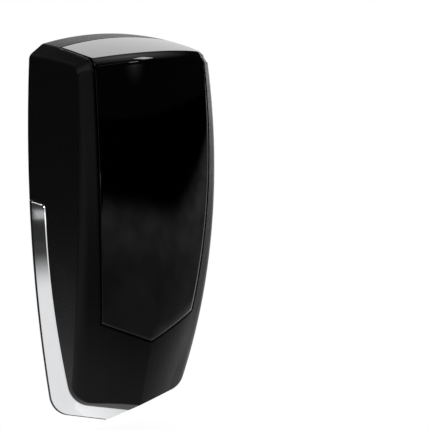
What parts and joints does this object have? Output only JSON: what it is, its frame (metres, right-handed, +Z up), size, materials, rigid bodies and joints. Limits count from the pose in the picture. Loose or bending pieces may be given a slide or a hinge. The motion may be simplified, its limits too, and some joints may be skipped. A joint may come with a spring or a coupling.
{
  "type": "gate photocell",
  "caption": "Wall-mounted gate photocell: matte black housing, glossy infrared window folded over its top, and a chrome trim round the lower half.",
  "frame": {"origin": "middle of the base's back face, on the wall plane and halfway up the housing", "axes": "+X to the right seen from the front, +Y into the wall, +Z up; the window looks along -Y"},
  "size_m": [0.0462, 0.0382, 0.1172],
  "materials": {
    "cover_plastic": "matte black moulded plastic with a fine spark-eroded grain",
    "window_acrylic": "glossy black infrared filter acrylic",
    "trim_chrome": "bright chrome plating on plastic",
    "base_plastic": "matte black moulded plastic",
    "gasket_rubber": "soft black sealing rubber",
    "screw_steel": "zinc-plated steel",
    "grommet_rubber": "soft black rubber",
    "board_laminate": "green solder mask on glass laminate",
    "tube_plastic": "matte black plastic",
    "lens_acrylic": "clear moulded acrylic",
    "diode_epoxy": "dark infrared epoxy",
    "led_epoxy": "red tinted epoxy",
    "terminal_plastic": "green polyamide",
    "terminal_metal": "nickel-plated steel",
    "relay_plastic": "blue moulded plastic",
    "capacitor_sleeve": "dark blue plastic sleeve",
    "chip_plastic": "black moulded epoxy",
    "lead_metal": "tinned copper",
    "resistor_body": "black glazed ceramic",
    "header_plastic": "black polyester",
    "pin_brass": "gold-flashed brass"
  },
  "bodies": {
    "root": {"front_cover": "cover_plastic", "ir_window": "window_acrylic", "chrome_trim": "trim_chrome", "base": "base_plastic", "cover_gasket": "gasket_rubber", "cover_screw": "screw_steel", "cable_grommet": "grommet_rubber", "circuit_board": "board_laminate", "board_screws": "screw_steel", "optic_tube": "tube_plastic", "collimator_lens": "lens_acrylic", "photodiode": "diode_epoxy", "status_led": "led_epoxy", "terminal_block": "terminal_plastic", "terminal_screws": "terminal_metal", "terminal_clamps": "terminal_metal", "relay": "relay_plastic", "filter_capacitor": "capacitor_sleeve", "bridge_rectifier": "chip_plastic", "microcontroller": "chip_plastic", "voltage_regulator": "chip_plastic", "chip_leads": "lead_metal", "resistors": "resistor_body", "jumper_header": "header_plastic", "jumper_pins": "pin_brass", "jumper_cap": "header_plastic"}
  },
  "joints": []
}
